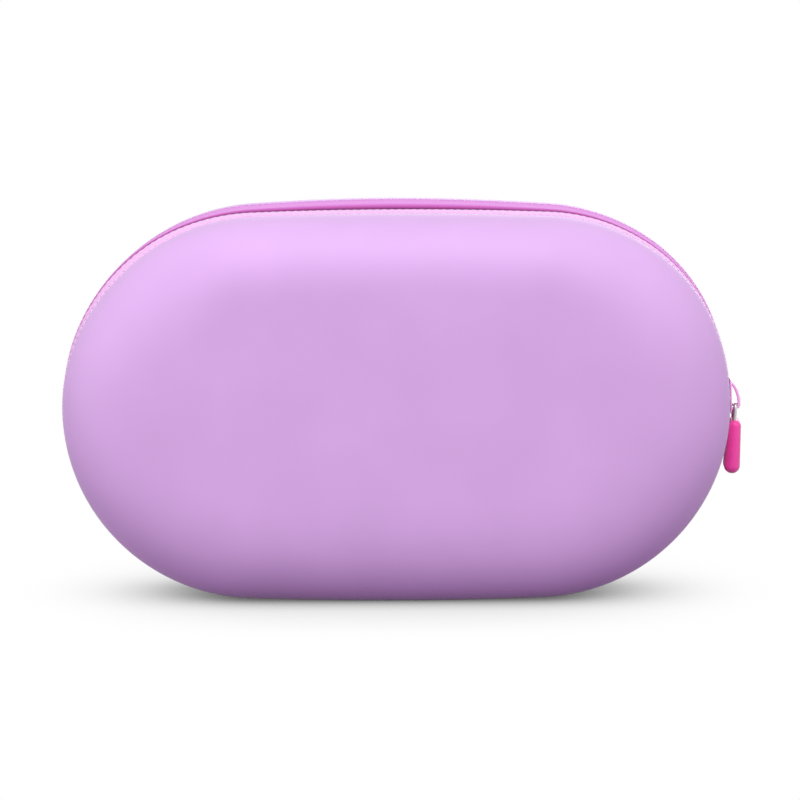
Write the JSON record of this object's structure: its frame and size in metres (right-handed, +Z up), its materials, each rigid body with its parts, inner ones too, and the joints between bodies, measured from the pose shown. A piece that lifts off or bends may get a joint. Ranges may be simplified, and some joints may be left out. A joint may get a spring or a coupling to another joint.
{
  "type": "silicone pouch",
  "caption": "Clamshell pouch of two moulded silicone halves with rounded ends, a zip round the rim, a woven hinge under the base and a slider with a silicone pull.",
  "frame": {"origin": "on the floor under the middle of the base, in the plane where the two halves meet", "axes": "+X along the length towards the slider, +Y towards the rear half, +Z up"},
  "size_m": [0.2026, 0.058, 0.1178],
  "materials": {
    "silicone_shell": "matte soft-touch silicone, lavender",
    "zip_tape": "woven polyester tape, light pink",
    "zip_coil": "nylon monofilament, pink",
    "cord": "twisted polyester filler cord",
    "thread": "polyester sewing thread, light pink",
    "stop": "moulded end stop, pink",
    "slider": "gloss enamel on zinc, light pink",
    "link": "bright nickel-plated wire",
    "pull": "satin silicone, hot pink"
  },
  "bodies": {
    "rear_half": {"rear_shell": "silicone_shell", "rear_zip_tape": "zip_tape", "rear_zip_coil": "zip_coil", "rear_core_cord": "cord", "rear_coil_thread": "thread", "rear_seam_thread": "thread", "rear_top_stop": "stop", "bottom_stop": "stop", "hinge_strip": "zip_tape"},
    "front_half": {"front_shell": "silicone_shell", "front_zip_tape": "zip_tape", "front_zip_coil": "zip_coil", "front_core_cord": "cord", "front_coil_thread": "thread", "front_seam_thread": "thread", "front_top_stop": "stop"},
    "slider": {"slider_body": "slider"},
    "pull": {"pull_link": "link", "pull_tab": "pull"}
  },
  "joints": [
    {"name": "front_opens", "type": "hinge", "parent": "rear_half", "child": "front_half", "pos_m": [0, 0, 0.0005], "axis": [1, 0, 0], "range_deg": [0, 165], "deforming": ["hinge_strip", "front_zip_tape", "rear_zip_tape", "front_zip_coil", "rear_zip_coil", "front_core_cord", "rear_core_cord", "front_coil_thread", "rear_coil_thread"]},
    {"name": "slider_travel", "type": "hinge", "parent": "rear_half", "child": "slider", "pos_m": [0.0417, 0, 0.05803], "axis": [0, -1, 0], "range_deg": [-40, 76]},
    {"name": "pull_swing", "type": "hinge", "parent": "slider", "child": "pull", "pos_m": [0.10134, 0, 0.05702], "axis": [0, -1, 0], "range_deg": [0, 130]}
  ]
}
